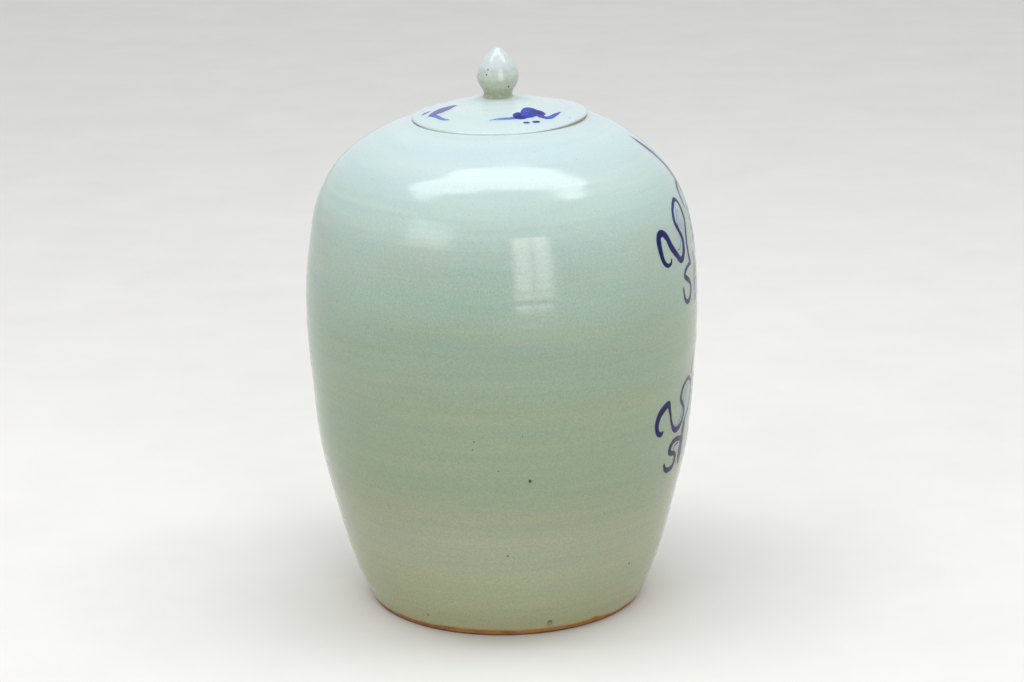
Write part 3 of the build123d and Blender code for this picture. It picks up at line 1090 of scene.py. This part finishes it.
def emblem(paint, base):
    """The flower between the ribbons, on a stem with leaves and a curling tendril each side."""
    blossom(paint, 0, base + 8, 16)
    curl = [
        (0, -13, 0.9), (7, -19, 1.3), (14, -19.5, 1.4), (18.5, -15, 1.2), (17, -10.5, 0.9),
        (13, -11, 0.7), (13.5, -14, 0.4),
    ]
    for side in (-1, 1):
        sway = 1.5 * side
        paint.stroke([(side * u, base + v + sway, w) for u, v, w in curl], (0.75, 0.5), 0.35)
        leaf(paint, (side * 6, base - 20), (side * 15, base - 30 + sway), 3.0, -0.16 * side)
        leaf(paint, (side * 1, base - 25), (side * 8, base - 38 - sway), 2.6, 0.14 * side)
        leaf(paint, (side * 12, base - 20 + sway), (side * 23, base - 22), 2.2, -0.15 * side)
    stem = [(0, -9, 1.3), (-1.2, -18, 1.4), (1.0, -27, 1.2), (-0.5, -36, 0.9), (-2, -42, 0.4)]
    paint.stroke([(u, base + v, w) for u, v, w in stem], (0.8, 0.55), 0.5)


def jar_painting():
    paint = Paint((-90, 84), (90, 312), 0.5)
    ribbons(paint, UPPER_RIBBONS)
    ribbons(paint, LOWER_RIBBONS)
    emblem(paint, 240)
    emblem(paint, 127)
    # A stem climbs from the upper flower to the shoulder, with a curl on each side.
    stem = [
        (0, 265, 1.2), (-0.5, 272, 1.7), (-2.5, 280, 2.6), (-2, 284, 3.2), (-1.6, 288.5, 3.6),
        (-2, 292.3, 3.8), (-3.4, 295.5, 3.9), (-5.6, 298.5, 3.8), (-8, 301.5, 3.6),
        (-9, 303.8, 3.3), (-9, 304.6, 2.9),
    ]
    left_curl = [
        (-0.8, 280.4, 1.4), (-7, 278.2, 1.5), (-15, 277, 1.7), (-20.5, 273.7, 1.7),
        (-21.5, 268.5, 1.4), (-19.5, 263.5, 0.8),
    ]
    right_curl = [
        (3, 282, 1.1), (10, 282.5, 1.3), (17.5, 279, 1.4), (21, 273.5, 1.3), (19, 267.5, 0.7),
    ]
    paint.stroke(stem, (0.6, 0.85), 0.6, heap=0.1)
    paint.stroke(left_curl, (0.5, 0.65), 0.6)
    paint.stroke(right_curl, (0.45, 0.6), 0.6)
    # Between the two flowers, the lower one's own short stem.
    paint.stroke([(0, 151, 1.3), (2, 161, 1.4), (-1, 173, 1.2), (1, 182, 0.6)], (0.65, 0.45), 0.6)
    leaf(paint, (1, 160), (13, 169), 2.8, 0.15)
    leaf(paint, (1, 166), (-11, 174), 2.6, -0.15)
    obj = paint.mesh("jar_cobalt_painting", on_jar, PAINT_LIFT)
    place(obj, "jar", "celadon", COBALT)


def lid_flower(stroke):
    """The sprig on the right: a stem, petals, two dots below and a long curling leaf."""
    stroke([
        (-6.1, -39.5, 0.5), (-2.3, -38.9, 1.1), (0.8, -38.6, 1.5), (4, -38.2, 1.6),
        (7.1, -37.8, 1.6), (10.3, -37, 1.8),
    ], (0.05, 0.30), 0.0, 0.85)
    stroke([(12, -35.5, 1.6), (16, -35, 1.9), (20, -33.5, 1.8)], 0.50, 0.0, heap=0.1)
    stroke([(17.3, -27.5, 3.4), (20, -24, 4.4), (22, -25.5, 3.8)], 0.46, 0.0, heap=0.25)
    stroke([(14.5, -31, 2.4), (17.5, -30.5, 3.2), (21, -31, 2.8)], 0.44, 0.0, heap=0.2)
    stroke([(21, -29.5, 2.4), (25, -29.8, 2.4), (27, -31, 2.0)], 0.50, 0.05, heap=0.2)
    stroke([
        (12.3, -30.6, 1.9), (11.6, -33.6, 2.9), (12.8, -36.2, 2.6), (15.2, -36.4, 1.8),
    ], 0.62, 0.05, heap=0.15)
    stroke([(22.0, -24.6, 2.6), (25, -25.2, 3.2), (27.0, -27.0, 2.6)], 0.62, 0.3, heap=0.15)
    stroke([
        (26, -32.3, 1.7), (29.5, -33.0, 1.9), (32.0, -31.6, 1.8), (34.0, -28.5, 1.6),
        (36.2, -24.3, 1.3), (38.8, -19.5, 0.6),
    ], (0.42, 0.26), 0.0, heap=0.15)
    stroke([(16.2, -42.8, 1.15), (18.0, -42.4, 1.15)], 0.62, 0.05)
    stroke([(22.0, -40.7, 1.3), (24.3, -39.9, 1.3)], 0.70, 0.05)


def lid_leaf(stroke):
    """The sprig on the left: a purple blade, a blue one under it and a small one at the edge."""
    stroke([
        (-43, -12, 1.8), (-39.5, -10.2, 4.3), (-35.5, -8.6, 5.0), (-31.5, -7, 3.4),
        (-27.2, -5.8, 0.9),
    ], (0.30, 0.22), 0.70, 0.85, heap=0.2)
    stroke([
        (-40.5, -7.0, 2.2), (-36.5, -5.2, 3.2), (-31.5, -5.0, 2.6), (-28, -5.6, 1.2),
    ], (0.22, 0.16), 0.8, 0.75)
    for off in (-3.2, -1.0, 1.2):
        vein = [(-41.5, off - 10, 0.6), (-36, off - 8.8, 0.9), (-30.5, 0.6 * off - 6.6, 0.5)]
        stroke(vein, 0.46, 0.55, 0.8)
    stroke([(-48.5, -4.4, 1.3), (-47, -3.0, 2.1), (-44.9, -1.8, 1.2)], 0.30, 0.6, 0.85)
    stroke([
        (-44.5, -13.0, 1.2), (-42.5, -14.2, 1.9), (-39.8, -18.8, 1.7), (-37.2, -24.0, 1.5),
        (-34.8, -27.8, 1.4), (-32.2, -29.8, 1.0),
    ], (0.34, 0.14), 0.15, 0.9, heap=0.1)


def lid_painting():
    paint = Paint((-54, -48), (46, 4), 0.4)
    lid_flower(paint.stroke)
    lid_leaf(paint.stroke)
    obj = paint.mesh("lid_cobalt_sprigs", on_lid, PAINT_LIFT)
    place(obj, "lid", "celadon", COBALT)


jar_painting()
lid_painting()


# ---- specks in the glaze
def speck_disc(cu, cv, size):
    """A small uneven disc on a flat grid: its points, its faces and how deep each point is."""
    rings, sides = 4, 12
    points, depth = [(cu, cv)], [1.0]
    for k in range(1, rings + 1):
        for a in np.linspace(0, 2 * pi, sides, endpoint=False):
            uneven = 1 + 0.18 * sin(3 * a + 0.9 * cu) + 0.10 * sin(5 * a + 0.7 * cv)
            reach = size * k / rings * uneven
            points.append((cu + reach * cos(a), cv + reach * sin(a)))
            depth.append(1.0 - (k / rings) ** 1.5)
    faces = [(0, 1 + j, 1 + (j + 1) % sides) for j in range(sides)]
    faces += [tuple(1 + i for i in face[::-1]) for face in turned_faces(rings, sides)]
    return points, faces, depth


def specks(name, body, surface, lift, stains, pits=(), material=IRON):
    """Discs for iron stains and for the orange pits, each (u, v, size, strength)."""
    places, faces, values = [], [], {"stain": [], "pit": []}
    for kind, group in (("stain", stains), ("pit", pits)):
        for u, v, size, strength in group:
            points, disc, depth = speck_disc(u, v, size)
            faces += [tuple(i + len(places) for i in face) for face in disc]
            places += points
            for key, numbers in values.items():
                numbers += [x * strength * (key == kind) for x in depth]
    u, v = np.array(places).T
    obj = new_object(name, surface(u, v, lift), faces, values)
    place(obj, body, "celadon", material)


def from_front(radius, spots):
    """Spots listed by their distance right of the front, as places round a wall of radius."""
    return [(u - radius * pi / 2, v, size, strength) for u, v, size, strength in spots]


def jar_stains():
    """The spots that show from the front, placed one by one, then scattered ones."""
    spots = from_front(WRAP_R, [
        (16.5, 115.7, 1.6, 1.0), (-18.5, 142.8, 0.9, 0.7), (-19.6, 137.4, 0.9, 0.6),
        (-3.5, 123.3, 0.8, 0.7), (11.8, 145.9, 0.7, 0.6), (1.5, 62.4, 1.1, 0.7),
        (107.3, 40.4, 1.2, 0.9), (-85.1, 90.4, 0.7, 0.5), (-72.2, 12.0, 0.45, 0.6),
        (37.4, 10.0, 1.1, 0.8), (151.8, 312.0, 0.9, 0.45), (76.1, 307.8, 0.8, 0.4),
        (38.2, 313.2, 0.7, 0.4), (-111.9, 263.8, 0.7, 0.4), (-112.6, 295.6, 0.9, 0.4),
    ])
    rng = np.random.default_rng(7)
    for _ in range(70):
        u = rng.uniform(-pi, pi) * WRAP_R
        v = rng.uniform(6.0, 300.0)
        spots.append((u, v, rng.uniform(0.25, 0.6), rng.uniform(0.25, 0.7)))
    return spots


def jar_pits():
    """Orange pits just above the foot: a small one on the left, and a ring that fades out."""
    pits = [(-71.3, 11.4, 1.6, 0.9)]
    for k in range(20):
        a = radians(60 + 18 * k)
        pits.append((37.4 + 1.7 * cos(a), 8.0 + 2.0 * sin(a), 0.85, 0.9 - 0.022 * k))
    return from_front(WRAP_R, pits)


def on_bud(u, v, lift):
    """Flat coordinates to the bud: u round from +X, v the height."""
    az = u / BUD_R
    r, z, _, _ = FINIAL.at(FINIAL.s_at_z(v))
    return ring_points(r + finial_relief(az, r, z)[0] + lift, z, az)


LID_STAINS = [
    (44.4, -26.5, 0.9, 0.6), (45.5, -1.6, 0.9, 0.5), (-0.9, -29.0, 0.6, 0.3),
    (-22.0, 26.0, 0.5, 0.5), (9.0, 30.0, 0.6, 0.5), (4.0, -48.5, 0.5, 0.35),
    (-18.0, -20.0, 0.4, 0.3), (30.0, 20.0, 0.5, 0.4), (-10.6, 3.6, 0.9, 1.0),
]
LID_PITS = [(51.4, -13.0, 0.9, 0.5), (10.4, -44.9, 0.8, 0.35)]
BUD_STAINS = from_front(BUD_R, [
    (-7, 353.7, 0.8, 0.8), (-7.5, 350.5, 0.8, 0.8), (8.2, 342.2, 0.9, 1.0),
    (6.0, 340.4, 0.6, 0.5), (-19.0, 335.8, 0.8, 1.0), (12.0, 347.0, 0.45, 0.6),
    (-3.0, 344.5, 0.4, 0.5), (30.0, 343.0, 0.5, 0.6), (44.0, 351.0, 0.4, 0.6),
])

specks("jar_iron_specks", "jar", on_jar, JAR_SPECK_LIFT, jar_stains(), jar_pits())
specks("lid_iron_specks", "lid", on_lid, LID_SPECK_LIFT, LID_STAINS, LID_PITS)
specks(
    "finial_iron_specks", "lid", on_bud, BUD_SPECK_LIFT, BUD_STAINS, material=FINIAL_IRON
)


# ---- studio, in metres
def studio_floor():
    bpy.ops.mesh.primitive_plane_add(size=1)
    floor = bpy.context.object
    floor.name = "studio_floor"
    floor.scale = (8, 8, 1)
    n = material_nodes("studio_paper")
    tooth = n.noise(90.0, 3.0, 0.6, 0.0)
    colour = n.ramp(tooth, [(0.3, (0.75, 0.725, 0.69)), (0.7, (0.78, 0.755, 0.72))])
    floor.data.materials.append(n.finish(Base_Color=colour, Roughness=0.85, IOR=1.3))


def studio_world():
    """Pale all round: brightest overhead, and dimmer in the part of the room behind the camera."""
    world = bpy.data.worlds.new("studio_world")
    bpy.context.scene.world = world
    n = Nodes(world, "Background", "Generated")
    overhead = n.math("MULTIPLY_ADD", n.along("Z"), 0.40, 0.50)
    level = n.math("MULTIPLY_ADD", n.along("Y"), 0.36, overhead)
    n.finish(
        Color=n.ramp(level, [(0.10, (0.26, 0.27, 0.26)), (0.85, (0.90, 0.93, 0.97))]), Strength=0.90
    )


def softbox(name, position, aim, size, power, colour=(1.0, 1.0, 1.0)):
    data = bpy.data.lights.new(name, "AREA")
    data.shape = "RECTANGLE"
    data.size, data.size_y = size
    data.energy = power
    data.color = colour
    lamp = bpy.data.objects.new(name, data)
    lamp.location = position
    lamp.rotation_euler = (Vector(aim) - Vector(position)).to_track_quat("-Z", "Y").to_euler()
    bpy.context.scene.collection.objects.link(lamp)


def camera():
    """The view from the front, a little above, with a long lens."""
    position = (0.00625, -1.9049, 0.7398)
    down, roll = radians(16.63), radians(-0.982)
    data = bpy.data.cameras.new("camera")
    data.sensor_width = 36.0
    data.lens = 106.8
    obj = bpy.data.objects.new("camera", data)
    turn = Matrix.Rotation(pi / 2 - down, 4, "X") @ Matrix.Rotation(roll, 4, "Z")
    obj.matrix_world = Matrix.Translation(position) @ turn
    bpy.context.scene.collection.objects.link(obj)
    bpy.context.scene.camera = obj


studio_floor()
studio_world()
camera()
MIDDLE = (0.0, 0.0, TIP_Z * MM / 2)
softbox("overhead_box", (0.0, -0.10, 1.75), (0.0, 0.0, 0.25), (2.3, 0.55), 18.0, (0.96, 0.985, 1.0))
softbox("left_front_box", (-2.0, -1.9, 1.6), MIDDLE, (1.5, 1.0), 11.0)
for side in (-1, 1):
    for level in (-1, 1):
        pane = (0.95 + side * 0.30, -2.9 + side * 0.10, 1.05 + level * 0.50)
        softbox("window_pane", pane, MIDDLE, (0.54, 0.94), 6.5)

bpy.context.scene.view_settings.view_transform = "Standard"
